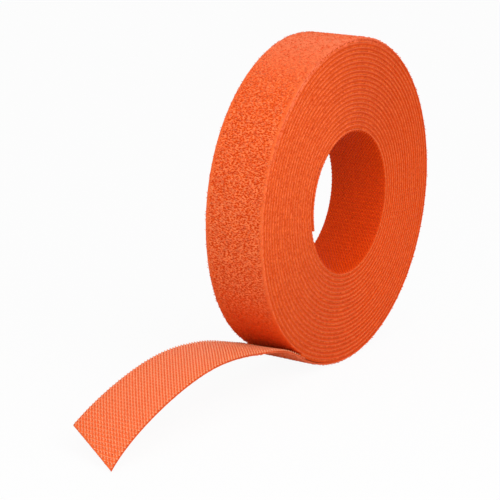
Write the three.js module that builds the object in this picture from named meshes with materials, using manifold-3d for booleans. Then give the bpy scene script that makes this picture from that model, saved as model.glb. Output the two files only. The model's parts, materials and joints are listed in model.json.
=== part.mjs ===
// A roll of back-to-back hook and loop tape. The tape is two plies bonded together, hooks on
// one face and loop pile on the other. It is wound on itself without a core, hooks inwards,
// and its outer end is pulled out at the foot of the roll and lies on the floor as a tail.
// Seen from the front, X runs to the right and Z up. The roll's axis runs along Y.

import * as THREE from 'three';
import { mergeVertices } from 'three/addons/utils/BufferGeometryUtils.js';
import Module from 'manifold-3d';

// Driving dimensions, in millimetres, degrees and counts.

// The tape: its width, its two plies, and the nap between two turns, where the hooks of one
// turn sit in the pile of the next.
const TAPE_WIDTH = 19.05;
const HOOK_PLY = 0.40;
const LOOP_PLY = 0.42;
const NAP = 0.50;

// The winding: its bore, its whole turns, where the inner end lies (counted from the right,
// against the clock), and how far past the foot's end the tape is peeled off the roll.
const BORE_RADIUS = 20.65;
const WHOLE_TURNS = 20;
const STEPS_PER_TURN = 24;
const INNER_END_ANGLE = 194.6;
const PEEL_OFF_ANGLE = 24.5;

// The tail rises to a crown and falls to its tip. Distances run along the floor from the
// point where the tape leaves the roll. A reach is how strongly a curve keeps its direction.
const CROWN_DISTANCE = 39.8;
const CROWN_HEIGHT = 15.65;
const TIP_DISTANCE = 89.6;
const TIP_SLOPE = 39;
const LIFT_REACH = 7;
const CROWN_REACH = 15.4;
const TIP_REACH = 13.2;

// The tail's end is cut off on the slant, as scissors leave it: longer on the front edge.
const END_CUT_ANGLE = 29;

// The flexible ends are divided into stiff lengths that turn on each other.
const TAIL_LINKS = 6;
const STEPS_PER_LINK = 4;
const INNER_FLAP = 17;
const LINK_GAP = 0.3;

const HOOK_FINISH = { color: 0xe2531f, roughness: 0.55, metalness: 0 };
const LOOP_FINISH = { color: 0xee6533, roughness: 0.9, metalness: 0 };

const PITCH = HOOK_PLY + LOOP_PLY + NAP;
const STEP = 360 / STEPS_PER_TURN;
const SHORTEST_STEP = STEP / 10;
const HALF_WIDTH = TAPE_WIDTH / 2;
const radians = THREE.MathUtils.degToRad;

// The winding's stations, as degrees swept from the inner end. They are counted back from the
// foot, the flat step that faces the floor, so that every turn's flats lie above each other.
// Past the foot the last turn goes on up the roll's side to where the tape is peeled off.
const footEnd = 360 * WHOLE_TURNS + INNER_END_ANGLE + 90 + STEP / 2;
const sweeps = [];
for (let sweep = footEnd; sweep > SHORTEST_STEP; sweep -= STEP) {
  sweeps.unshift(sweep);
}
sweeps.unshift(0);
const foot = sweeps.length - 1;
const leavingSweep = footEnd + PEEL_OFF_ANGLE;
for (let sweep = footEnd + STEP; sweep < leavingSweep - SHORTEST_STEP; sweep += STEP) {
  sweeps.push(sweep);
}
const lastStep = leavingSweep - sweeps.at(-1);
sweeps.push(leavingSweep);

// The bond line between the two plies: a spiral that grows one pitch a turn, with the clock.
function windingPoint(sweep) {
  const radius = BORE_RADIUS + HOOK_PLY + PITCH * sweep / 360;
  const angle = radians(INNER_END_ANGLE - sweep);
  return new THREE.Vector2(radius * Math.cos(angle), radius * Math.sin(angle));
}

// The winding is turned until its foot is level, and set down with the foot's middle on the
// origin and its loop ply on the floor.
function setDown(points) {
  const centre = new THREE.Vector2();
  const [footA, footB] = points.slice(foot - 1, foot + 1);
  const tilt = footA.clone().sub(footB).angle();
  points.forEach((point) => point.rotateAround(centre, -tilt));
  const middle = footA.clone().add(footB).multiplyScalar(0.5);
  const move = new THREE.Vector2(-middle.x, LOOP_PLY - middle.y);
  points.forEach((point) => point.add(move));
  return points;
}

// The tail's bond line leaves the roll along its last direction, passes level over the crown,
// and comes down at a slope until the loop ply's end edge is on the floor.
function tailPoints(start, direction) {
  const crown = new THREE.Vector2(start.x - CROWN_DISTANCE, CROWN_HEIGHT);
  const slope = radians(TIP_SLOPE);
  const tip = new THREE.Vector2(start.x - TIP_DISTANCE, LOOP_PLY);
  const level = new THREE.Vector2(CROWN_REACH, 0);
  const fall = new THREE.Vector2(-Math.cos(slope), -Math.sin(slope)).multiplyScalar(TIP_REACH);
  const lift = direction.clone().multiplyScalar(LIFT_REACH);
  const path = new THREE.CurvePath();
  path.add(new THREE.CubicBezierCurve(start, start.clone().add(lift), crown.clone().add(level), crown));
  path.add(new THREE.CubicBezierCurve(crown, crown.clone().sub(level), tip.clone().sub(fall), tip));
  return path.getSpacedPoints(TAIL_LINKS * STEPS_PER_LINK);
}

const winding = setDown(sweeps.map(windingPoint));
const leaving = winding.at(-1);
const lastFlat = leaving.clone().sub(winding.at(-2)).normalize();
const leavingDirection = lastFlat.rotateAround(new THREE.Vector2(), -radians(lastStep / 2));
const tail = tailPoints(leaving, leavingDirection);

// The whole tape's bond line, from the inner end to the tip, with the length up to each point.
const line = [...winding, ...tail.slice(1)];
const lengths = [0];
for (let i = 1; i < line.length; i += 1) {
  lengths.push(lengths[i - 1] + line[i].distanceTo(line[i - 1]));
}
const windingLength = lengths[winding.length - 1];
const tapeLength = lengths.at(-1);

function pointAt(length) {
  const last = lengths.length - 1;
  const next = Math.min(last, Math.max(1, lengths.findIndex((reached) => reached >= length)));
  const share = (length - lengths[next - 1]) / (lengths[next] - lengths[next - 1]);
  return line[next - 1].clone().lerp(line[next], share);
}

function stretch(from, to) {
  const between = line.filter((point, i) => lengths[i] > from && lengths[i] < to);
  return [pointAt(from), ...between, pointAt(to)];
}

// A line beside the bond line, at one distance from all of its flats. Positive distances lie
// on the hook side, which faces the roll's axis and is the tail's upper side.
function beside(points, distance) {
  const sides = points.slice(1).map((point, i) => {
    const along = point.clone().sub(points[i]).normalize();
    return new THREE.Vector2(along.y, -along.x);
  });
  return points.map((point, i) => {
    const before = sides[Math.max(0, i - 1)];
    const after = sides[Math.min(sides.length - 1, i)];
    const mitre = before.clone().add(after).divideScalar(1 + before.dot(after));
    return point.clone().addScaledVector(mitre, distance);
  });
}

// A ply's solid: the band between the bond line and a line beside it, as wide as the tape.
function plySolid(points, distance) {
  const outline = [...points, ...beside(points, distance).reverse()];
  const solid = new THREE.ExtrudeGeometry(new THREE.Shape(outline), {
    depth: TAPE_WIDTH,
    bevelEnabled: false,
  });
  solid.rotateX(Math.PI / 2);
  solid.translate(0, HALF_WIDTH, 0);
  return solid;
}

const wasm = await Module();
wasm.setup();

function toManifold(geometry) {
  const bare = geometry.clone();
  bare.deleteAttribute('normal');
  bare.deleteAttribute('uv');
  const merged = mergeVertices(bare);
  return new wasm.Manifold(new wasm.Mesh({
    numProp: 3,
    vertProperties: new Float32Array(merged.attributes.position.array),
    triVerts: new Uint32Array(merged.index.array),
  }));
}

function toGeometry(manifold) {
  const mesh = manifold.getMesh();
  const geometry = new THREE.BufferGeometry();
  geometry.setAttribute('position', new THREE.BufferAttribute(mesh.vertProperties, 3));
  geometry.setIndex(new THREE.BufferAttribute(mesh.triVerts, 1));
  geometry.computeVertexNormals();
  return geometry;
}

// The scissors' cut: a block whose face goes through the tip's front corner, across the tape
// on the slant, and takes off all that lies past it.
function slantCut() {
  const along = tail.at(-1).clone().sub(tail.at(-2)).normalize();
  const forward = new THREE.Vector3(along.x, 0, along.y);
  const across = new THREE.Vector3(0, 1, 0);
  const through = new THREE.Vector3().crossVectors(forward, across);
  const side = 4 * TAPE_WIDTH;
  const block = new THREE.BoxGeometry(side, side, side);
  block.translate(side / 2, 0, 0);
  block.rotateZ(radians(END_CUT_ANGLE));
  block.applyMatrix4(new THREE.Matrix4().makeBasis(forward, across, through));
  const tip = tail.at(-1);
  block.translate(tip.x, -HALF_WIDTH, tip.y);
  return toManifold(block);
}

const hookMaterial = new THREE.MeshStandardMaterial(HOOK_FINISH);
const loopMaterial = new THREE.MeshStandardMaterial(LOOP_FINISH);

// One length of tape: its hook ply and its loop ply, bonded face to face.
function tapeLengthGroup(name, from, to, cut) {
  const points = stretch(from, to);
  const shape = (solid) => (cut ? toGeometry(toManifold(solid).subtract(cut)) : solid);
  const hook = new THREE.Mesh(shape(plySolid(points, HOOK_PLY)), hookMaterial);
  const loop = new THREE.Mesh(shape(plySolid(points, -LOOP_PLY)), loopMaterial);
  hook.name = `${name}_hook_ply`;
  loop.name = `${name}_loop_ply`;
  return new THREE.Group().add(hook, loop);
}

// The least gap between two turns, measured from the hook face's corners and the middles of
// its flats to the loop face's flats, at least half a turn away along the tape.
function leastGap() {
  const hookFace = beside(line, HOOK_PLY);
  const loopFace = beside(line, -LOOP_PLY);
  const nearest = new THREE.Vector3();
  const flat = new THREE.Line3();
  let least = Infinity;
  for (let i = 1; i < line.length; i += 1) {
    const middle = hookFace[i].clone().lerp(hookFace[i - 1], 0.5);
    const probes = [hookFace[i], middle].map((probe) => new THREE.Vector3(probe.x, probe.y, 0));
    for (let j = 1; j < line.length; j += 1) {
      if (Math.abs(i - j) >= STEPS_PER_TURN / 2) {
        flat.start.set(loopFace[j - 1].x, loopFace[j - 1].y, 0);
        flat.end.set(loopFace[j].x, loopFace[j].y, 0);
        for (const probe of probes) {
          flat.closestPointToPoint(probe, true, nearest);
          least = Math.min(least, probe.distanceTo(nearest));
        }
      }
    }
  }
  return least;
}

console.log(`tape length ${tapeLength.toFixed(1)} mm, of which ${windingLength.toFixed(1)} mm wound`);
console.log(`least gap between turns ${leastGap().toFixed(3)} mm`);

// The stiff lengths, from the inner end outwards. Neighbours keep a gap at the line they turn on.
const tapeRoll = new THREE.Group();
const halfGap = LINK_GAP / 2;
const tailStart = windingLength;
const linkLength = (tapeLength - tailStart) / TAIL_LINKS;
tapeRoll.add(tapeLengthGroup('inner_end', 0, INNER_FLAP - halfGap));
tapeRoll.add(tapeLengthGroup('roll', INNER_FLAP + halfGap, tailStart - halfGap));
const hinges = [pointAt(INNER_FLAP)];
const endCut = slantCut();
for (let link = 1; link <= TAIL_LINKS; link += 1) {
  const from = tailStart + (link - 1) * linkLength;
  const isLast = link === TAIL_LINKS;
  const to = isLast ? tapeLength : from + linkLength - halfGap;
  tapeRoll.add(tapeLengthGroup(`tail_${link}`, from + halfGap, to, isLast ? endCut : undefined));
  hinges.push(pointAt(from));
}
// The points, in X and Z, of the lines across the tape that the stiff lengths turn on.
tapeRoll.userData.hinges = hinges;

export default tapeRoll;
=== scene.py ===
# %% [markdown]
# # A roll of hook and loop tape
# The tape is two plies bonded back to back: moulded hooks on one face, brushed loop pile on the
# It is wound on itself without a core, hooks inwards, so that each turn grips the next,
# and its outer end is pulled out over the table. In this lesson the tape is modelled flat, as it
# comes from the loom, and then wound on a drawn line. The imported CAD model is loaded first: it
# gives the places, and the pieces of the roll ride on its roll body.

# %% The frame
import json
import math
import bpy
import numpy as np
from mathutils import Matrix, Vector
from mathutils.geometry import interpolate_bezier

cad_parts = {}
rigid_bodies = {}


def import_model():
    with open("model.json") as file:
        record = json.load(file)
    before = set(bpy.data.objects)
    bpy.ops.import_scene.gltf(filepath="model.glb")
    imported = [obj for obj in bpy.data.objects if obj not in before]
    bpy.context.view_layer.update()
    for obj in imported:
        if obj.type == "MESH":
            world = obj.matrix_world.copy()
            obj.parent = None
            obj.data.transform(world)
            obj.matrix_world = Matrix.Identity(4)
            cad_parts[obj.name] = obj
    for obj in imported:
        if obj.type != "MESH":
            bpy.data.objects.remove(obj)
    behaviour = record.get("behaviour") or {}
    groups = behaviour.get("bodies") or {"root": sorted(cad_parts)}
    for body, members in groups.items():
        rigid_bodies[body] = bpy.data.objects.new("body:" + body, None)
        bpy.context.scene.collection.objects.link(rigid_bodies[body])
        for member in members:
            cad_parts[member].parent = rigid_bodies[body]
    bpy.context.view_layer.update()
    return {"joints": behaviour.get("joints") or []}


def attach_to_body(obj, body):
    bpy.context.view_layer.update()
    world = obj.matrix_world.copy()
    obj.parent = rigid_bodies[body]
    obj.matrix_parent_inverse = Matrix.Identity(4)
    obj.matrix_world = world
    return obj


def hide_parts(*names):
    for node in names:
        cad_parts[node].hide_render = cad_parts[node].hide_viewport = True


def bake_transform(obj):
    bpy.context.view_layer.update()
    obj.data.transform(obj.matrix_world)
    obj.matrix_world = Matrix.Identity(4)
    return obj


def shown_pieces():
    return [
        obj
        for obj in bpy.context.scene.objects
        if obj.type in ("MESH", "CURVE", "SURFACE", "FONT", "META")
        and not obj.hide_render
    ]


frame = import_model()
bpy.ops.object.select_all(action="DESELECT")

# %% [markdown]
# ## The camera
# The photograph was taken from in front of the roll and to its left, a little above the table,
# with a long lens. A long lens from far away keeps the two sides of the roll almost parallel, as
# product photographs do. The camera is placed first, because every later choice of detail
# depends on how large a millimetre is in the picture.

# %% The camera
mm = 0.001
roll_axis = Vector((0.2107, 0, 48.87)) * mm
camera_place = Vector((-453.78, -270.01, 165.20)) * mm
camera_target = Vector((-14.11, 16.07, 33.08)) * mm
camera_roll = math.radians(0.926)

bpy.ops.object.camera_add(location=camera_place)
camera = bpy.context.object
camera.name = "camera"
gaze = (camera_target - camera_place).to_track_quat("-Z", "Y").to_matrix()
camera.rotation_euler = (gaze @ Matrix.Rotation(camera_roll, 3, "Z")).to_euler()
camera.data.sensor_width = 36
camera.data.lens = 131
bpy.context.scene.camera = camera
print("camera is", round((camera_place - roll_axis).length / mm), "mm from the roll's axis")

# %% [markdown]
# ## The line that the tape follows
# Seen from the front, the bond between the two plies draws one line: a spiral of nearly 21 turns
# that grows by one thickness a turn, then two gentle curves for the tail, from the place where it
# is peeled off the roll, over a crown and down to the table. A spiral could be spun, but then the
# tail would be a second piece. One curve for the whole length keeps the tape in one piece, and a
# Curve modifier can wind anything on it. The roll is not quite round: it stands a little taller
# than wide, its outer turns were loosened by a millimetre at the lower left, where the tail was
# pulled away, and the last turn sags below them. Angles and sweeps here are in degrees.

# %% The spiral's sizes
tape_width = 19.05 * mm
one_turn = 360
first_radius = 20.82 * mm
pitch = 1.314 * mm
tallness = 0.006
inner_end_angle = 194.6
tail_sweep = 7517.6
spiral_points = 3000
print("turns:", round(tail_sweep / one_turn, 2), "of", round(pitch / mm, 2), "mm each")

# %% The spiral
looseness = 0.9 * mm
loose_middle, loose_half = 218, 40
loose_growth = 5
sag = 0.15 * mm
sag_middle, sag_half = 248, 20
sag_sweep = 60


def swell(degrees, middle, half):
    off_middle = min(1, abs((degrees - middle + 180) % 360 - 180) / half)
    return math.cos(off_middle * math.pi / 2) ** 2


def spiral_point(sweep):
    wound = sweep / tail_sweep
    degrees = inner_end_angle - sweep
    radius = first_radius + pitch * sweep / one_turn
    radius += looseness * wound ** loose_growth * swell(degrees, loose_middle, loose_half)
    if sweep > tail_sweep - sag_sweep:
        radius += sag * swell(degrees, sag_middle, sag_half)
    across = radius * math.cos(math.radians(degrees))
    up = radius * math.sin(math.radians(degrees)) * (1 + tallness * wound)
    return Vector((roll_axis.x + across, roll_axis.z + up, 0))


sweeps = np.linspace(0, tail_sweep, spiral_points)
spiral = [spiral_point(sweep) for sweep in sweeps]
print("the roll ends at", [round(value / mm, 1) for value in spiral[-1]])

# %% The tail's two curves
crown = Vector((-66.0, 15.70, 0)) * mm
tip = Vector((-115.2, 0.42, 0)) * mm
tip_slope = math.radians(41)
leaving_reach, falling_reach = 5, 12
curve_points = 60

leaving = spiral[-1]
lift = (spiral[-1] - spiral[-2]).normalized() * leaving_reach * mm
level = Vector((16.3, 0, 0)) * mm
fall = Vector((-math.cos(tip_slope), -math.sin(tip_slope), 0)) * falling_reach * mm
rising = interpolate_bezier(leaving, leaving + lift, crown + level, crown, curve_points)
falling = interpolate_bezier(crown, crown - level, tip - fall, tip, curve_points)
line_points = np.array(spiral + rising[1:] + falling[1:])
reach = np.concatenate([[0], np.cumsum(np.linalg.norm(np.diff(line_points, axis=0), axis=1))])
tail_start = reach[len(spiral) - 1]
tape_length = reach[-1]
print("tape:", round(tape_length / mm), "mm, of which", round(tail_start / mm), "mm is wound")

# %% The line as a curve
line_data = bpy.data.curves.new("tape_line", "CURVE")
line_data.dimensions = "2D"
spline = line_data.splines.new("POLY")
spline.points.add(len(line_points) - 1)
spline.points.foreach_set("co", np.column_stack([line_points, np.ones(len(line_points))]).ravel())
tape_line = bpy.data.objects.new("tape_line", line_data)
bpy.context.scene.collection.objects.link(tape_line)
print("points on the line:", len(spline.points))


def length_at_sweep(sweep):
    return float(np.interp(sweep, sweeps, reach[:len(sweeps)]))


# %% The lines that the tape bends on
hinge, parent_body = {}, {}
for joint in frame["joints"]:
    x, _, z = joint["pos_m"]
    nearest = np.argmin(np.hypot(line_points[:, 0] - x, line_points[:, 1] - z))
    hinge[joint["child"]] = float(reach[nearest])
    parent_body[joint["child"]] = joint["parent"]
print({child: round(length / mm, 1) for child, length in hinge.items()})

# %% [markdown]
# ## Working flat
# Every piece of the tape is modelled flat on the table: X runs along the tape from its inner end,
# Y across it, and Z through it, with the hooks upwards. The helpers below add a flat strip, apply
# a modifier, and wind a finished piece: it is set on its edge, bent along the line by a Curve
# modifier, and stood up. The flat place of each point is kept in an attribute named tape, so that
# a weave or a pile pattern runs along the tape and not straight through the roll. Where the tail
# is peeled off the roll it leans a little, because its front edge holds on longer.

# %% Flat strips and modifiers
def flat_strip(name, start, end, width, height, step, rows):
    bpy.ops.object.select_all(action="DESELECT")
    columns = max(2, round((end - start) / step))
    bpy.ops.mesh.primitive_grid_add(x_subdivisions=columns, y_subdivisions=rows, size=1)
    strip = bpy.context.object
    strip.name = strip.data.name = name
    bpy.ops.object.mode_set(mode="EDIT")
    bpy.ops.transform.resize(value=(end - start, width, 1))
    bpy.ops.transform.translate(value=((start + end) / 2, 0, height))
    bpy.ops.object.mode_set(mode="OBJECT")
    return strip


def apply_modifier(piece, kind, **settings):
    modifier = piece.modifiers.new(kind.lower(), kind)
    for setting, value in settings.items():
        setattr(modifier, setting, value)
    bpy.context.view_layer.objects.active = piece
    bpy.ops.object.modifier_apply(modifier=modifier.name)


def clouds(name, size, depth=1):
    texture = bpy.data.textures.new(name, "CLOUDS")
    texture.noise_scale = size
    texture.noise_depth = depth
    return texture


# %% Winding a flat piece on the line
peel_reach = 24 * mm
peel_lean = math.tan(math.radians(3))
peel_onset = 0.7


def stand_up(piece):
    bpy.ops.object.select_all(action="DESELECT")
    piece.select_set(True)
    bpy.context.view_layer.objects.active = piece
    piece.rotation_euler.x = math.radians(90)
    bpy.ops.object.transform_apply(location=True, rotation=True, scale=True)


def point_places(piece):
    places = np.empty(len(piece.data.vertices) * 3, np.float32)
    piece.data.vertices.foreach_get("co", places)
    return places.reshape(-1, 3)


def wind(piece):
    flat = point_places(piece)
    piece.data.attributes.new("tape", "FLOAT_VECTOR", "POINT").data.foreach_set("vector", flat.ravel())
    stand_up(piece)
    apply_modifier(piece, "CURVE", object=tape_line, deform_axis="POS_X")
    stand_up(piece)
    wound = point_places(piece)
    peeled = np.clip((flat[:, 0] - tail_start) / peel_reach, 0, 1)
    wound[:, 2] += flat[:, 1] * peel_lean * np.sin(np.pi * peeled ** peel_onset) ** 2
    piece.data.vertices.foreach_set("co", wound.ravel())
    return piece


# %% [markdown]
# ## The stiff lengths of the tape
# The tape bends anywhere, but the CAD model turns on one line between two bodies. So the tape is
# divided halfway between those lines: each visible length has one bending line in its middle, and
# is baked where it lies. The roll has none, and rides on its body as one.

# %% The lengths and their ends
past_inner_bend = 8 * mm
before_root_bend = 12 * mm
tail_names = [f"tail_{number}" for number in range(1, 7)]
half_link = (hinge["tail_2"] - hinge["tail_1"]) / 2
roll_start = hinge["inner_end"] + past_inner_bend
roll_end = hinge["tail_1"] - before_root_bend
tail_cuts = [roll_end, *(hinge[name] - half_link for name in tail_names[1:]), tape_length]
lengths = {"inner_end": (0, roll_start), "roll": (roll_start, roll_end)}
lengths.update(zip(tail_names, zip(tail_cuts[:-1], tail_cuts[1:])))
print({name: [round(end / mm, 1) for end in ends] for name, ends in lengths.items()})


def attach(piece, name):
    if name == "roll":
        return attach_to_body(piece, "roll")
    if name == "inner_end":
        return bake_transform(piece)
    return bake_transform(piece)


# %% [markdown]
# ## The scissors' cut
# The free end was cut with scissors, on the slant: the front edge is longer. A boolean would do,
# but a bisect of the flat strip, before it gets its thickness, leaves a clean edge that the later
# bevel can round like the others.

# %% Cutting the free end
cut_angle = math.radians(29)
cut_normal = Vector((math.cos(cut_angle), -math.sin(cut_angle), 0))
cut_corner = Vector((tape_length, tape_width / 2, 0))


def cut_free_end(strip):
    bpy.context.view_layer.objects.active = strip
    bpy.ops.object.mode_set(mode="EDIT")
    bpy.ops.mesh.select_all(action="SELECT")
    bpy.ops.mesh.bisect(plane_co=cut_corner, plane_no=cut_normal, clear_outer=True)
    bpy.ops.object.mode_set(mode="OBJECT")


def is_past_cut(x, y, margin):
    return (Vector((x, y, 0)) - cut_corner).dot(cut_normal) > -margin


# %% [markdown]
# ## The two plies
# The hook ply is a moulded nylon film, the loop ply a thin knitted backing that carries the pile.
# Each is a flat strip that a Solidify modifier thickens away from the bond, with its edges rounded
# by a Bevel. A Displace modifier lets the strip wander sideways by less than a tenth of a
# millimetre, as no roll is wound perfectly true: that helps the turns to show on the roll's side.

# %% The plies of every length
hook_film = 0.25 * mm
loop_backing = 0.12 * mm
hook_side, loop_side = 1, -1
ply_step, ply_rows = 1.5 * mm, 4
ply_round = 0.28
smooth_angle = math.radians(50)
wander = clouds("sideways_wander", size=24 * mm, depth=2)
wander_reach = 0.15 * mm


def let_wander(strip):
    apply_modifier(strip, "DISPLACE", texture=wander, texture_coords="LOCAL", direction="Y",
                   strength=wander_reach, mid_level=0.5)


def ply(name, start, end, thickness, side):
    strip = flat_strip(name, start, end, tape_width, height=0, step=ply_step, rows=ply_rows)
    if end == tape_length:
        cut_free_end(strip)
    apply_modifier(strip, "SOLIDIFY", thickness=thickness, offset=side)
    apply_modifier(strip, "BEVEL", width=thickness * ply_round, segments=2, limit_method="ANGLE")
    let_wander(strip)
    bpy.ops.object.shade_smooth_by_angle(angle=smooth_angle)
    return wind(strip)


hook_plies, loop_plies = {}, {}
for name, (start, end) in lengths.items():
    hook_plies[name] = ply(f"{name}_hook_film", start, end, hook_film, hook_side)
    loop_plies[name] = ply(f"{name}_loop_backing", start, end, loop_backing, loop_side)
print("plies:", len(hook_plies) + len(loop_plies))

# %% [markdown]
# ## The nap between the turns
# Between two turns the hooks of one sit in the pile of the next. On the side of the roll the pile
# shows as a soft, beaded band, flush with the plies. The hooks start a little further in, and are
# painted deep, a painted shade for the groove between the turns, so they draw a dark line beside
# it. Each is a strip: the pile's one has rounded edges and a fine displacement for its fibre ends,
# and the hooks' one is plain.

# %% The room for the nap
pile_band = 0.52 * mm
hook_layer = pitch - hook_film - loop_backing - pile_band
nap_past_bend = 2 * mm
nap_short_of_peel = 1
nap_start = hinge["inner_end"] + nap_past_bend
nap_end = length_at_sweep(tail_sweep - one_turn - nap_short_of_peel)
print("nap:", round((nap_end - nap_start) / mm), "mm long,", round(hook_layer / mm, 2), "mm for the hooks")

# %% The nap strips
def nap_strip(name, inset, step, top, thickness):
    width = tape_width - 2 * inset
    strip = flat_strip(name, nap_start, nap_end, width, height=-top, step=step, rows=1)
    apply_modifier(strip, "SOLIDIFY", thickness=thickness, offset=loop_side)
    return strip


nap_pile = nap_strip("roll_nap_pile", inset=0.05 * mm, step=0.45 * mm, top=loop_backing,
                     thickness=pile_band)
apply_modifier(nap_pile, "BEVEL", width=0.15 * mm, segments=1, limit_method="ANGLE")
let_wander(nap_pile)
fibre_ends = clouds("fibre_ends", size=0.6 * mm)
apply_modifier(nap_pile, "DISPLACE", texture=fibre_ends, texture_coords="LOCAL", direction="NORMAL",
               strength=0.16 * mm, mid_level=0.6)
bpy.ops.object.shade_smooth()
nap_hooks = nap_strip("roll_nap_hooks", inset=0.14 * mm, step=1.2 * mm, top=loop_backing + pile_band,
                      thickness=hook_layer)
let_wander(nap_hooks)
for strip in (nap_pile, nap_hooks):
    wind(strip)
    print(strip.name, len(strip.data.polygons), "faces")

# %% [markdown]
# ## One hook
# A moulded hook is a flat finger that leans over at its top. It is modelled once: a small foot is
# extruded upwards in steps, and each step's end face is turned a little further and made smaller,
# so that the finger curls over. About twenty faces are enough, because there are thousands of hooks.

# %% Modelling the hook
hook_foot = (0.42 * mm, 0.30 * mm, 1)
finger_steps = [(0.02, 0.13, 0, 0.72), (0.03, 0.11, -30, 0.9), (0.11, 0.07, -45, 0.85),
                (0.13, -0.02, -45, 0.75), (0.03, -0.08, -20, 0.6)]


def extrude_finger(forward, up, turn, taper):
    bpy.ops.mesh.extrude_region_move(TRANSFORM_OT_translate={"value": (forward * mm, 0, up * mm)})
    mesh = bpy.context.object.data
    bpy.context.object.update_from_editmode()
    chosen = [vertex.co for vertex in mesh.vertices if vertex.select]
    middle = sum(chosen, Vector()) / len(chosen)
    bpy.ops.transform.rotate(value=math.radians(turn), orient_axis="Y", center_override=middle)
    bpy.ops.transform.resize(value=(taper, taper ** 0.5, taper), center_override=middle)


bpy.ops.object.select_all(action="DESELECT")
bpy.ops.mesh.primitive_plane_add(size=1)
hook = bpy.context.object
hook.name = "one_hook"
bpy.ops.object.mode_set(mode="EDIT")
bpy.ops.transform.resize(value=hook_foot)
for forward, up, turn, taper in finger_steps:
    extrude_finger(forward, up, turn, taper)
bpy.ops.object.mode_set(mode="OBJECT")
hook_size = [round(side / mm, 2) for side in hook.dimensions]
print("one hook:", len(hook.data.polygons), "faces,", hook_size, "mm")

# %% [markdown]
# ## Copies of a small shape
# Hooks and loops repeat by the thousand. An Array modifier makes perfect rows, but a real tape's
# rows are a little uneven and the loops lie every way. So a helper copies the one shape to a list
# of places, each with its own turn, lean and size, into one mesh. The seed is fixed, so that the
# tape comes out the same each time.

# %% The copying helper
chance = np.random.default_rng(7)


def copy_to_places(name, shape, places):
    points = np.array([vertex.co for vertex in shape.data.vertices])
    faces = [list(polygon.vertices) for polygon in shape.data.polygons]
    all_points, all_faces = [], []
    for number, (x, y, z, turn, lean, size) in enumerate(places):
        turned = Matrix.Rotation(turn, 3, "Z") @ Matrix.Rotation(lean, 3, "X") @ Matrix.Diagonal(size)
        all_points.append(points @ np.array(turned).T + (x, y, z))
        all_faces += [[corner + number * len(points) for corner in face] for face in faces]
    mesh = bpy.data.meshes.new(name)
    mesh.from_pydata(np.concatenate(all_points), [], all_faces)
    copies = bpy.data.objects.new(name, mesh)
    bpy.context.scene.collection.objects.link(copies)
    bpy.ops.object.select_all(action="DESELECT")
    copies.select_set(True)
    bpy.context.view_layer.objects.active = copies
    return copies


# %% [markdown]
# ## The hook fields
# The hooks stand in 39 columns half a millimetre apart. Along a column they follow each other at
# 1.3 mm, the next column is shifted by half of that, and neighbouring columns face opposite ways,
# so that the tape grips in both directions. Only fields that can be seen are filled: the bore, the
# inner end, and the tail.

# %% Filling a hook field
hook_step = 1.30 * mm
column_step = 0.4875 * mm
hook_columns = 39
hook_sink = 0.02 * mm
hook_margin = 0.35 * mm
turn_spread, size_spread, lean_spread = 0.06, 0.04, 0.05


def hook_field(name, start, end):
    places = []
    for column in range(hook_columns):
        y = (column - hook_columns // 2) * column_step
        shift = hook_step / 2 * (column % 2)
        first = math.ceil((start - shift) / hook_step) * hook_step + shift
        for x in np.arange(first, end, hook_step):
            if is_past_cut(x, y, hook_margin):
                continue
            turn = (math.pi if column % 2 else 0) + chance.normal(0, turn_spread)
            size = chance.normal(1, size_spread, 3)
            lean = chance.normal(0, lean_spread)
            places.append((x, y, hook_film - hook_sink, turn, lean, size))
    field = copy_to_places(name, hook, places)
    bpy.ops.object.shade_smooth_by_angle(angle=smooth_angle)
    print(name, len(places), "hooks")
    return wind(field)


# %% The fields that can be seen
end_margin = 0.3 * mm
bore_overlap = 19 * mm
root_overlap = 4 * mm
bore_end = length_at_sweep(one_turn) + bore_overlap
hook_fields = {"inner_end": hook_field("inner_end_hooks", end_margin, roll_start),
               "roll": hook_field("bore_hooks", roll_start, bore_end)}
for name in tail_names:
    start, end = lengths[name]
    if name == "tail_1":
        start = hinge[name] - root_overlap
    if end == tape_length:
        end -= end_margin
    hook_fields[name] = hook_field(f"{name}_hooks", start, end)

# %% [markdown]
# ## One loop of the pile
# The pile is a knitted loop yarn that was brushed, so that its loops stand open for the hooks. One
# loop is half a ring: a torus cut through its middle by a bisect, with the open feet filled.

# %% Modelling the loop
loop_radius = 0.25 * mm
yarn_radius = 0.075 * mm
foot_height = 0.02 * mm
upright = (math.radians(90), 0, 0)

bpy.ops.object.select_all(action="DESELECT")
bpy.ops.mesh.primitive_torus_add(major_segments=8, minor_segments=3, major_radius=loop_radius,
                                 minor_radius=yarn_radius, rotation=upright)
loop = bpy.context.object
loop.name = "one_loop"
bpy.ops.object.transform_apply(location=False, rotation=True, scale=False)
bpy.ops.object.mode_set(mode="EDIT")
bpy.ops.mesh.select_all(action="SELECT")
bpy.ops.mesh.bisect(plane_co=(0, 0, foot_height), plane_no=(0, 0, 1), clear_outer=True, use_fill=True)
bpy.ops.object.mode_set(mode="OBJECT")
print("one loop:", len(loop.data.polygons), "faces")

# %% [markdown]
# ## The pile
# From arm's length the brushed loops are a mottled mat with clumps about a millimetre across, and
# single loops stand out of it. Hair particles would give the fuzz but no mesh that can be kept. So
# a fine grid is pushed in and out by cloud textures, one for the clumps, one for the yarn and one
# that makes its edges uneven, and the single loop is strewn over it.

# %% The mat
pile_margin = 0.14 * mm
pile_round = 0.7
pile_pushes = [(clouds("pile_clumps", size=0.52 * mm), "Z", 0.9),
               (clouds("pile_yarn", size=0.30 * mm), "Z", 0.6),
               (clouds("pile_edge", size=0.55 * mm), "Y", 0.8)]


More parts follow.
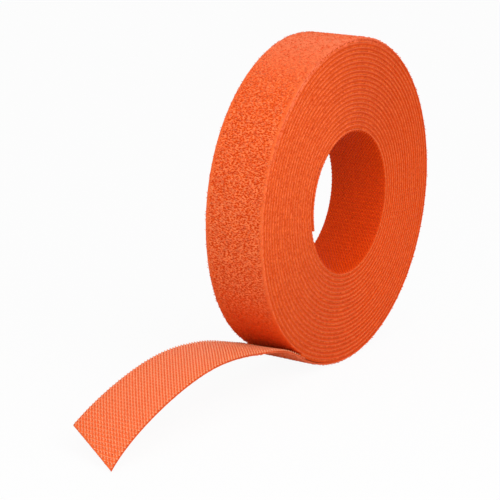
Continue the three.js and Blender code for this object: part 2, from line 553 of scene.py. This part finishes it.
def pile_mat(name, start, end, step, depth):
    width = tape_width - 2 * pile_margin
    rows = round(width / step)
    mat = flat_strip(name, start, end, width, height=-loop_backing - depth, step=step, rows=rows)
    if end == tape_length:
        cut_free_end(mat)
    apply_modifier(mat, "SOLIDIFY", thickness=depth, offset=hook_side)
    apply_modifier(mat, "BEVEL", width=depth * pile_round, segments=2, limit_method="ANGLE")
    for texture, direction, push in pile_pushes:
        apply_modifier(mat, "DISPLACE", texture=texture, texture_coords="LOCAL", direction=direction,
                       strength=push * depth, mid_level=0.5)
    bpy.ops.object.shade_smooth()
    return mat


# %% The loops that stand out of it
loops_per_square = 2.4 / mm ** 2
loop_sink = 0.8
loop_margin = 0.4 * mm
loop_turn_spread, loop_lean_spread = 0.7, 0.5
smallest_loop, largest_loop = (0.7, 0.8, 0.55), (1.4, 1.2, 1.0)


def strewn_loops(name, start, end, depth, inset):
    half = tape_width / 2 - inset
    places = []
    for _ in range(round((end - start) * 2 * half * loops_per_square)):
        x, y = chance.uniform(start, end), chance.uniform(-half, half)
        if not is_past_cut(x, y, loop_margin):
            size = chance.uniform(smallest_loop, largest_loop)
            turn = chance.normal(math.pi / 2, loop_turn_spread)
            lean = chance.normal(0, loop_lean_spread)
            places.append((x, y, -loop_backing - loop_sink * depth, turn, lean, size))
    loops = copy_to_places(name, loop, places)
    bpy.ops.object.shade_smooth()
    print(name, len(places), "loops")
    return loops


# %% The tread's pile
tread_depth = 0.20 * mm
tread_step = 0.29 * mm
tread_loop_inset = pile_margin / 2
tread_parts = 3
tread_before_peel = 4
tread_start = length_at_sweep(tail_sweep - one_turn - tread_before_peel)
tread_ends = np.linspace(tread_start, roll_end, tread_parts + 1)
piles = {"roll": []}
for number, (start, end) in enumerate(zip(tread_ends[:-1], tread_ends[1:]), 1):
    mat = wind(pile_mat(f"tread_{number}_pile", start, end, tread_step, tread_depth))
    loops = wind(strewn_loops(f"tread_{number}_loops", start, end, tread_depth, tread_loop_inset))
    piles["roll"] += [mat, loops]

# %% The pile under the tail and behind the inner end
end_depth = 0.13 * mm
end_step = 0.36 * mm
end_loop_inset = 4 * pile_margin
for name in ["inner_end", *tail_names]:
    start, end = lengths[name]
    if name == "inner_end":
        end = hinge[name]
    mat = pile_mat(f"{name}_pile", start, end, end_step, end_depth)
    loops = strewn_loops(f"{name}_loops", start, end, end_depth, end_loop_inset)
    piles[name] = [wind(mat), wind(loops)]

# %% [markdown]
# ## Finishes
# Every finish is a node tree on a Principled shader. They all read the flat place that the tape
# attribute keeps, so a pattern has its real size in metres. The dye is one strong orange: what
# tells the surfaces apart is how deep it is and how they scatter light. Moulded nylon is smooth
# and gives a pale gleam, brushed pile is matt with a soft bloom, and cut edges are in between.

# %% Helpers for node trees
def new_finish(name):
    material = bpy.data.materials.new(name)
    material.use_nodes = True
    return material, material.node_tree, material.node_tree.nodes["Principled BSDF"]


def set_inputs(tree, node, inputs):
    for socket, value in inputs.items():
        if isinstance(value, bpy.types.NodeSocket):
            tree.links.new(value, node.inputs[socket])
        else:
            node.inputs[socket].default_value = value


def add_node(tree, kind, inputs=(), **settings):
    node = tree.nodes.new(kind)
    for setting, value in settings.items():
        setattr(node, setting, value)
    set_inputs(tree, node, dict(inputs))
    return node


def calculate(tree, operation, *values):
    return add_node(tree, "ShaderNodeMath", dict(enumerate(values)), operation=operation).outputs[0]


# %% Patterns on the flat tape
wave_period = 0.314


def flat_place(tree, stretch=(1, 1, 1)):
    tape = add_node(tree, "ShaderNodeAttribute", attribute_name="tape").outputs["Vector"]
    return add_node(tree, "ShaderNodeMapping", {"Vector": tape, "Scale": stretch}).outputs["Vector"]


def flat_axis(tree, axis):
    return add_node(tree, "ShaderNodeSeparateXYZ", {"Vector": flat_place(tree)}).outputs[axis]


def noise(tree, place, size, detail=2, roughness=0.5):
    inputs = {"Vector": place, "Scale": 1 / size, "Detail": detail, "Roughness": roughness}
    return add_node(tree, "ShaderNodeTexNoise", inputs).outputs["Fac"]


def ribs(tree, direction, spacing, unevenness):
    scale = wave_period / spacing
    inputs = {"Vector": flat_place(tree), "Scale": scale, "Distortion": unevenness, "Detail": 1}
    return add_node(tree, "ShaderNodeTexWave", inputs, bands_direction=direction).outputs["Fac"]


def bump(tree, height, distance, strength, below=None):
    inputs = {"Height": height, "Distance": distance, "Strength": strength}
    if below:
        inputs["Normal"] = below
    return add_node(tree, "ShaderNodeBump", inputs).outputs["Normal"]


# %% Tones and fades
def colour_ramp(tree, factor, stops):
    ramp = add_node(tree, "ShaderNodeValToRGB", {"Fac": factor})
    while len(ramp.color_ramp.elements) < len(stops):
        ramp.color_ramp.elements.new(0.5)
    for element, (position, colour) in zip(ramp.color_ramp.elements, stops):
        element.position = position
        element.color = colour
    return ramp.outputs["Color"]


def blend(tree, factor, empty, full):
    return add_node(tree, "ShaderNodeMix", {0: factor, 6: empty, 7: full}, data_type="RGBA").outputs[2]


def in_range(tree, factor, low, high):
    inputs = {"Value": factor, "To Min": low, "To Max": high}
    return add_node(tree, "ShaderNodeMapRange", inputs).outputs["Result"]


def fade(tree, factor, empty, full, least=0.0):
    inputs = {"Value": factor, "From Min": empty, "From Max": full, "To Min": least}
    return add_node(tree, "ShaderNodeMapRange", inputs, interpolation_type="SMOOTHSTEP").outputs["Result"]


def off_edges(tree, edge, inner):
    off_middle = calculate(tree, "ABSOLUTE", flat_axis(tree, "Y"))
    return fade(tree, off_middle, tape_width / 2 - edge, tape_width / 2 - inner)


# %% [markdown]
# ### Brushed pile
# The ground of the pile lies in its own shade and is deeper in colour, with lighter clumps where
# the hooks have raised it. The loops that stand out of it are the lightest. Fine streaks stand for
# single fibres, and sheen gives the bloom of thousands of fibre ends. The tread isn't the same all
# along. Just above the place where the tail is peeled off, it is painted even and deep in colour,
# a painted shade for the tread's lower side. Further up its clumps stand open. Towards the crest
# their contrast falls again, and the tone turns even and paler, a painted highlight where the top
# is lit. Along its edges the tone is even and paler too.

# %% The ground of the pile
deep_orange = (0.66, 0.051, 0.003, 1)
pile_orange = (0.93, 0.119, 0.015, 1)
light_orange = (0.97, 0.225, 0.078, 1)
# painted shade: the even, deep tone of the tread's lower side near the peel line
painted_shade_orange = (0.92, 0.094, 0.004, 1)
edge_orange = (0.92, 0.160, 0.040, 1)
# painted highlight: the even, paler tone of the lit crest and of the roll's rim
painted_highlight_orange = (0.98, 0.215, 0.090, 1)
peel_line = length_at_sweep(tail_sweep - one_turn)
painted_shade_end, painted_shade_gone = peel_line + 6 * mm, peel_line + 32 * mm
contrast_fall_start, contrast_fall_end = peel_line + 44 * mm, peel_line + 108 * mm
crest_start, crest_end = peel_line + 84 * mm, peel_line + 120 * mm

pile_ground, tree, shader = new_finish("pile_ground")
clumps = noise(tree, flat_place(tree, stretch=(1, 0.5, 1)), size=0.38 * mm)
fibres = noise(tree, flat_place(tree, stretch=(1, 0.35, 1)), size=0.12 * mm, roughness=0.6)
along = flat_axis(tree, "X")
inside = off_edges(tree, edge=0.2 * mm, inner=1.5 * mm)
# the tread fades out of the painted shade of its lower side
outside_painted_shade = fade(tree, along, painted_shade_end, painted_shade_gone, least=0.1)
# the clumps' contrast falls towards the crest
contrast_below_crest = fade(tree, along, contrast_fall_end, contrast_fall_start, least=0.3)
# painted highlight on the tread towards its lit crest
crest = fade(tree, along, crest_end, crest_start)
clump_contrast = calculate(tree, "MULTIPLY", calculate(tree, "MULTIPLY", outside_painted_shade, contrast_below_crest), inside)
clumps = calculate(tree, "MULTIPLY_ADD", calculate(tree, "SUBTRACT", clumps, 0.5), clump_contrast, 0.5)
dye = colour_ramp(tree, clumps, [(0.435, deep_orange), (0.5, pile_orange), (0.555, light_orange)])
# even tone at the edges, painted highlight at the crest, painted shade near the peel line
for share, even_tone in [(inside, edge_orange), (crest, painted_highlight_orange), (outside_painted_shade, painted_shade_orange)]:
    dye = blend(tree, share, even_tone, dye)
relief = bump(tree, clumps, distance=0.22 * mm, strength=1)
relief = bump(tree, fibres, distance=0.05 * mm, strength=0.5, below=relief)
set_inputs(tree, shader, {"Base Color": dye, "Normal": relief,
                          "Roughness": in_range(tree, fibres, 0.8, 0.98), "Specular IOR Level": 0.08,
                          "Sheen Weight": 0.02, "Sheen Roughness": 0.5, "Sheen Tint": (1, 0.75, 0.6, 1)})
print(pile_ground.name, len(tree.nodes), "nodes")

# %% The loops of the pile
loop_orange = (0.96, 0.265, 0.105, 1)
loops_painted_shade_gone = peel_line + 44 * mm

pile_loops, tree, shader = new_finish("pile_loops")
yarns = noise(tree, flat_place(tree), size=0.8 * mm)
dye = colour_ramp(tree, yarns, [(0.35, pile_orange), (0.65, loop_orange)])
# near the peel line the loops take the painted shade tone as well
outside_painted_shade = fade(tree, flat_axis(tree, "X"), painted_shade_end, loops_painted_shade_gone)
relief = bump(tree, noise(tree, flat_place(tree), size=0.08 * mm), distance=0.03 * mm, strength=0.5)
set_inputs(tree, shader, {"Base Color": blend(tree, outside_painted_shade, painted_shade_orange, dye), "Normal": relief,
                          "Roughness": in_range(tree, yarns, 0.6, 0.8), "Specular IOR Level": 0.15,
                          "Sheen Weight": 0.03, "Sheen Tint": (1, 0.8, 0.7, 1)})
print(pile_loops.name, len(tree.nodes), "nodes")

# %% [markdown]
# ### Painted highlight on the crest
# Near the crest a painted highlight lies on the lit rim: a pale tone spreads over the edges of the
# last turn and over the nap under it, so that the outermost line on the roll's side is lost. It
# could be painted by hand on the finished roll. Here it is a fade along the tape, broken up by
# noise, that every finish on the roll's side is passed through.

# %% Passing a dye through the painted rim highlight
# where along the last turn the painted highlight on the rim rises and falls
rim_highlight_start, rim_highlight_full = 60 * mm, 100 * mm
rim_highlight_falling, rim_highlight_end = 118 * mm, 155 * mm
breakup_size = 0.8 * mm
breakup_low, breakup_high = 0.38, 0.6
last_turn = tail_start - peel_line


# painted highlight: the lit upper rim of the roll's side takes the crest's pale tone, broken up by noise
def painted_rim_highlight(tree, dye, turns_in):
    along = flat_axis(tree, "X")
    start = peel_line - turns_in * last_turn
    highlight_rise = fade(tree, along, start + rim_highlight_start, start + rim_highlight_full)
    falling_off = fade(tree, along, start + rim_highlight_end, start + rim_highlight_falling)
    highlight_breakup = fade(tree, noise(tree, flat_place(tree), breakup_size), breakup_low, breakup_high)
    share = calculate(tree, "MULTIPLY", calculate(tree, "MULTIPLY", highlight_rise, falling_off), highlight_breakup)
    return blend(tree, share, dye, painted_highlight_orange)


print("last turn:", round(last_turn / mm), "mm")

# %% [markdown]
# ### Moulded nylon
# The hooks and their film come from one mould. The film has faint lengthwise ribs where the
# columns of hooks stand, and its slit edges have a tone of their own. On the tail, lit from above,
# film and hooks are painted paler, a painted highlight, and the film's edges there darker, a
# painted shade. The film and hooks of the roll, seen in the bore, keep deep tones as painted
# shade, and those in the nap show the deepest tone, the painted shade of the groove between turns.

# %% The hook film and the hooks
def nylon_film(name, dark, pale, edge):
    finish, tree, shader = new_finish(name)
    mottle = noise(tree, flat_place(tree), size=1.4 * mm)
    dye = colour_ramp(tree, mottle, [(0.3, dark), (0.7, pale)])
    dye = blend(tree, off_edges(tree, edge=0.15 * mm, inner=0.4 * mm), edge, dye)
    relief = bump(tree, ribs(tree, "Y", column_step, unevenness=0.4), distance=0.04 * mm, strength=0.5)
    set_inputs(tree, shader, {"Base Color": painted_rim_highlight(tree, dye, turns_in=0), "Normal": relief,
                              "Roughness": in_range(tree, mottle, 0.5, 0.65), "Specular IOR Level": 0.15})
    return finish


def nylon_hooks(name, dark, pale, gloss):
    finish, tree, shader = new_finish(name)
    mottle = noise(tree, flat_place(tree), size=0.8 * mm)
    dye = colour_ramp(tree, mottle, [(0.3, dark), (0.7, pale)])
    relief = bump(tree, noise(tree, flat_place(tree), size=0.1 * mm), distance=0.02 * mm, strength=0.4)
    set_inputs(tree, shader, {"Base Color": painted_rim_highlight(tree, dye, turns_in=1), "Normal": relief,
                              "Roughness": in_range(tree, mottle, 0.36, 0.5), "Specular IOR Level": gloss})
    return finish


# %% Lit and shaded nylon
# painted shade: the deep tones of the roll's film, seen in the bore
shaded_roll_film = nylon_film("shaded_roll_film", dark=(0.66, 0.049, 0.001, 1), pale=(0.76, 0.062, 0.002, 1),
                        edge=(0.80, 0.086, 0.006, 1))
# painted highlight: the tail's pale film, lit from above; its darker edge band is painted shade
lit_tail_film = nylon_film("lit_tail_film", dark=(0.80, 0.112, 0.019, 1), pale=(0.85, 0.152, 0.036, 1),
                         edge=(0.66, 0.070, 0.007, 1))
# painted shade: the deep tones of the hooks in the bore
shaded_roll_hooks = nylon_hooks("shaded_roll_hooks", dark=(0.76, 0.064, 0.002, 1), pale=(0.90, 0.100, 0.004, 1),
                          gloss=0.08)
# painted shade: the darkest tone, for the groove between the turns
nap_shade = nylon_hooks("nap_shade", dark=(0.62, 0.050, 0.002, 1), pale=(0.80, 0.080, 0.004, 1),
                        gloss=0.05)
# painted highlight: the tail's pale hooks, lit from above
lit_tail_hooks = nylon_hooks("lit_tail_hooks", dark=(0.88, 0.28, 0.122, 1), pale=(0.92, 0.37, 0.182, 1),
                           gloss=0.45)
print([finish.name for finish in (shaded_roll_film, lit_tail_film, shaded_roll_hooks, nap_shade, lit_tail_hooks)])

# %% [markdown]
# ### Backing and nap
# The backing is a fine knit, with a rib every third of a millimetre across the tape. The nap is
# seen only from its side, as fibre ends that run from turn to turn.

# %% The loop backing
knit_orange = (0.68, 0.066, 0.004, 1)
course_step = 0.33 * mm

loop_knit, tree, shader = new_finish("loop_knit")
mottle = noise(tree, flat_place(tree), size=0.7 * mm, detail=3)
dye = colour_ramp(tree, mottle, [(0.3, knit_orange), (0.65, light_orange)])
relief = bump(tree, ribs(tree, "X", course_step, unevenness=1.2), distance=0.05 * mm, strength=0.5)
set_inputs(tree, shader, {"Base Color": painted_rim_highlight(tree, dye, turns_in=0), "Normal": relief,
                          "Roughness": in_range(tree, mottle, 0.65, 0.85), "Specular IOR Level": 0.15,
                          "Sheen Weight": 0.05})
print(loop_knit.name, len(tree.nodes), "nodes")

# %% The nap
fibre_shade = (0.66, 0.058, 0.003, 1)
fibre_orange = (0.94, 0.17, 0.035, 1)

nap_fibres, tree, shader = new_finish("nap_fibres")
ends = noise(tree, flat_place(tree, stretch=(1, 1, 0.5)), size=0.42 * mm, roughness=0.6)
dye = colour_ramp(tree, ends, [(0.36, fibre_shade), (0.64, fibre_orange)])
relief = bump(tree, ends, distance=0.08 * mm, strength=0.7)
set_inputs(tree, shader, {"Base Color": painted_rim_highlight(tree, dye, turns_in=1), "Normal": relief,
                          "Roughness": in_range(tree, ends, 0.75, 0.95), "Specular IOR Level": 0.05,
                          "Sheen Weight": 0.02})
print(nap_fibres.name, len(tree.nodes), "nodes")

# %% [markdown]
# ## Putting the pieces in place
# Each ply stands for the CAD solid of its own ply, which is hidden, and takes one of the finishes
# above. The pieces of the roll ride on its body, and the others are baked where they lie. The
# hooks, the pile and the nap are the pieces on a ply.

# %% Finishes on the pieces
def paint(piece, finish):
    piece.data.materials.clear()
    piece.data.materials.append(finish)


for name in lengths:
    paint(hook_plies[name], lit_tail_film if name in tail_names else shaded_roll_film)
    paint(loop_plies[name], loop_knit)
    paint(hook_fields[name], lit_tail_hooks if name in tail_names else shaded_roll_hooks)
    for mat, loops in zip(piles[name][0::2], piles[name][1::2]):
        paint(mat, pile_ground)
        paint(loops, pile_loops)
paint(nap_pile, nap_fibres)
paint(nap_hooks, nap_shade)

# %% Bodies and plies
for name, (start, end) in lengths.items():
    on_hooks = [hook_fields[name]]
    on_loops = [*piles[name], nap_pile, nap_hooks] if name == "roll" else piles[name]
    area = (end - start) * tape_width
    if end == tape_length:
        area -= tape_width ** 2 * math.tan(cut_angle) / 2
    for sheet, on_sheet, slot in [(hook_plies[name], on_hooks, "hook_ply"),
                                  (loop_plies[name], on_loops, "loop_ply")]:
        for piece in [sheet, *on_sheet]:
            attach(piece, name)
        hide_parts(f"{name}_{slot}")

# %% Clearing up and counting
def triangles(piece):
    return sum(len(polygon.vertices) - 2 for polygon in piece.data.polygons)


for helper in (tape_line, hook, loop):
    bpy.data.objects.remove(helper)
counts = {piece.name: triangles(piece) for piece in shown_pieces()}
largest = max(counts, key=counts.get)
print("pieces:", len(counts), "triangles:", sum(counts.values()), "largest:", largest, counts[largest])

# %% [markdown]
# ## The table and the light
# The photograph has a white table that runs out of sight and soft light from a large lamp above.
# The table and the world are white to the camera and in reflections, and the table still takes a
# faint shadow. One wide sun above, a softbox in front, a weaker one at the left side and a pale
# world light the tape evenly, at a level where its colours look as they were mixed.

# %% The table
table_size = 12
table_grey = (0.72, 0.72, 0.72, 1)
table_glow = 0.94


def seen_by_eye(tree):
    rays = add_node(tree, "ShaderNodeLightPath").outputs
    seen = rays["Is Camera Ray"]
    for kind in ("Is Glossy Ray", "Is Transmission Ray"):
        seen = calculate(tree, "MAXIMUM", seen, rays[kind])
    return seen


bpy.ops.object.select_all(action="DESELECT")
bpy.ops.mesh.primitive_plane_add(size=table_size)
table = bpy.context.object
table.name = "table"
table_white, tree, shader = new_finish("table_white")
set_inputs(tree, shader, {"Base Color": table_grey, "Roughness": 0.9})
white = add_node(tree, "ShaderNodeEmission", {"Color": (1, 1, 1, 1), "Strength": 1})
glow = in_range(tree, seen_by_eye(tree), 0, table_glow)
mix = add_node(tree, "ShaderNodeMixShader", {0: glow, 1: shader.outputs[0], 2: white.outputs[0]})
set_inputs(tree, tree.nodes["Material Output"], {"Surface": mix.outputs[0]})
table.data.materials.append(table_white)
print("table:", table_size, "m wide")

# %% The lights
def aim(light, direction):
    light.rotation_euler = Vector(direction).to_track_quat("-Z", "Y").to_euler()


def add_softbox(name, place, target, size, energy):
    bpy.ops.object.light_add(type="AREA", location=place)
    softbox = bpy.context.object
    softbox.name = name
    softbox.data.size = size
    softbox.data.energy = energy
    softbox.visible_camera = False
    aim(softbox, Vector(target) - Vector(place))


bpy.ops.object.light_add(type="SUN")
top_light = bpy.context.object
top_light.name = "top_light"
top_light.data.energy = 1.1
top_light.data.angle = math.radians(80)
aim(top_light, (0.05, 0.4, -0.91))
add_softbox("softbox", place=(-0.12, -0.24, 0.24), target=(-0.01, 0, 0.05), size=0.22, energy=0.34)
add_softbox("side_fill", place=(-0.30, -0.06, 0.15), target=(-0.04, 0, 0.03), size=0.20, energy=0.22)
print("lights:", len(bpy.data.lights))

# %% The world
world_light = 0.43
scene = bpy.context.scene
scene.view_settings.view_transform = "Standard"
scene.world = bpy.data.worlds.new("studio")
scene.world.use_nodes = True
tree = scene.world.node_tree
brightness = in_range(tree, seen_by_eye(tree), world_light, 1)
set_inputs(tree, tree.nodes["Background"], {"Color": (1, 1, 1, 1), "Strength": brightness})
print("world light:", world_light)
